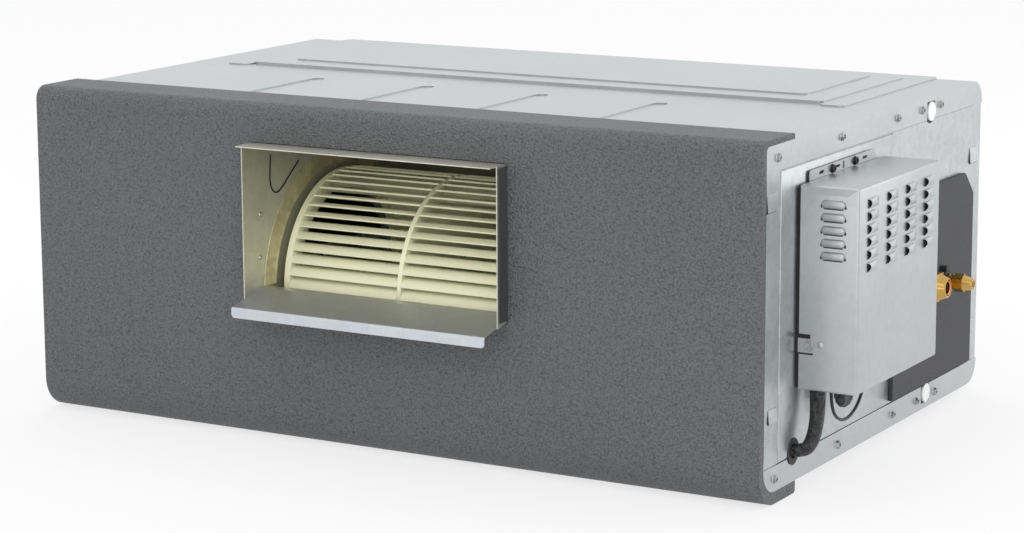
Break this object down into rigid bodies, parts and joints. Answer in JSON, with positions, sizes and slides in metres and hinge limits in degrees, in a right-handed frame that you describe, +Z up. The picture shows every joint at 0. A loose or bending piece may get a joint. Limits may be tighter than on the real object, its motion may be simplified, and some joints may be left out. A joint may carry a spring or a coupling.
{
  "type": "ducted air conditioner",
  "caption": "Low sheet metal air conditioner for ducts: foam faced outlet with a centrifugal blower, louvred electrical box and flare pipe connections on one side, return opening behind.",
  "frame": {"origin": "under the middle of the casing, on the surface that the unit rests on", "axes": "+X towards the electrical box and the pipes, -Y out of the supply opening, +Z up"},
  "size_m": [0.9072, 0.615, 0.3475],
  "materials": {
    "galvanised": "spangled zinc",
    "foam": "pebbled closed cell foam",
    "pad_foam": "matt foam",
    "wheel_plastic": "satin",
    "steel": "turned",
    "bronze": "turned",
    "black_rubber": "matt",
    "motor_paint": "satin",
    "fin_aluminium": "rolled",
    "copper": "drawn copper",
    "brass": "turned",
    "pan_plastic": "moulded",
    "white_plastic": "moulded",
    "black_plastic": "moulded",
    "board_green": "lacquered",
    "terminal_plastic": "moulded",
    "mesh_fabric": "woven",
    "screw_steel": "bright zinc"
  },
  "bodies": {
    "casing": {"bearing_cushion": "black_rubber", "bearing_strap": "galvanised", "bottom_cover": "galvanised", "box_back_plate": "galvanised", "box_screws": "screw_steel", "cable_grommet": "black_rubber", "cable_plug": "black_plastic", "casing_screws": "screw_steel", "coil_end_plates": "galvanised", "coil_fins": "fin_aluminium", "coil_tubes": "copper", "control_board": "board_green", "fan_capacitor": "black_plastic", "fan_motor": "motor_paint", "front_foam": "foam", "front_panel": "galvanised", "gas_flare_nut": "brass", "gas_header": "copper", "gas_line": "copper", "gas_union": "brass", "harness": "black_rubber", "inlet_ring_left": "galvanised", "inlet_ring_right": "galvanised", "left_side_panel": "galvanised", "liquid_flare_nut": "brass", "liquid_header": "copper", "liquid_line": "copper", "liquid_union": "brass", "lower_drain_pan": "pan_plastic", "motor_bolts": "screw_steel", "motor_bracket": "galvanised", "motor_mounts": "black_rubber", "outlet_tray": "galvanised", "pipe_seals": "copper", "rear_foam_pad": "pad_foam", "return_frame": "galvanised", "right_front_plate": "galvanised", "right_service_plate": "galvanised", "scroll_feet": "galvanised", "scroll_plate_left": "galvanised", "scroll_plate_right": "galvanised", "scroll_wrap": "galvanised", "shaft_bearing": "bronze", "side_foam_pad": "pad_foam", "terminal_block": "terminal_plastic", "top_cover": "galvanised", "upper_drain_pan": "pan_plastic", "wire_loop": "black_rubber"},
    "rotor": {"wheel_blades": "wheel_plastic", "wheel_rims": "wheel_plastic", "wheel_disc": "wheel_plastic", "wheel_hub": "steel", "fan_shaft": "steel"},
    "filter": {"filter_frame": "black_plastic", "filter_mesh": "mesh_fabric"},
    "box_cover": {"box_cover": "galvanised", "latch_screw": "screw_steel"},
    "lower_plug": {"lower_drain_plug": "white_plastic"},
    "upper_plug": {"upper_drain_plug": "white_plastic"}
  },
  "joints": [
    {"name": "fan_spin", "type": "hinge", "parent": "casing", "child": "rotor", "pos_m": [0.002, -0.1305, 0.15], "axis": [1, 0, 0], "continuous": true},
    {"name": "filter_pull", "type": "slide", "parent": "casing", "child": "filter", "axis": [0, 1, 0], "range_m": [0, 0.08]},
    {"name": "cover_slide", "type": "slide", "parent": "casing", "child": "box_cover", "axis": [1, 0, 0], "range_m": [0, 0.12]},
    {"name": "lower_plug_pull", "type": "slide", "parent": "casing", "child": "lower_plug", "axis": [1, 0, 0], "range_m": [0, 0.03]},
    {"name": "upper_plug_pull", "type": "slide", "parent": "casing", "child": "upper_plug", "axis": [1, 0, 0], "range_m": [0, 0.03]}
  ]
}
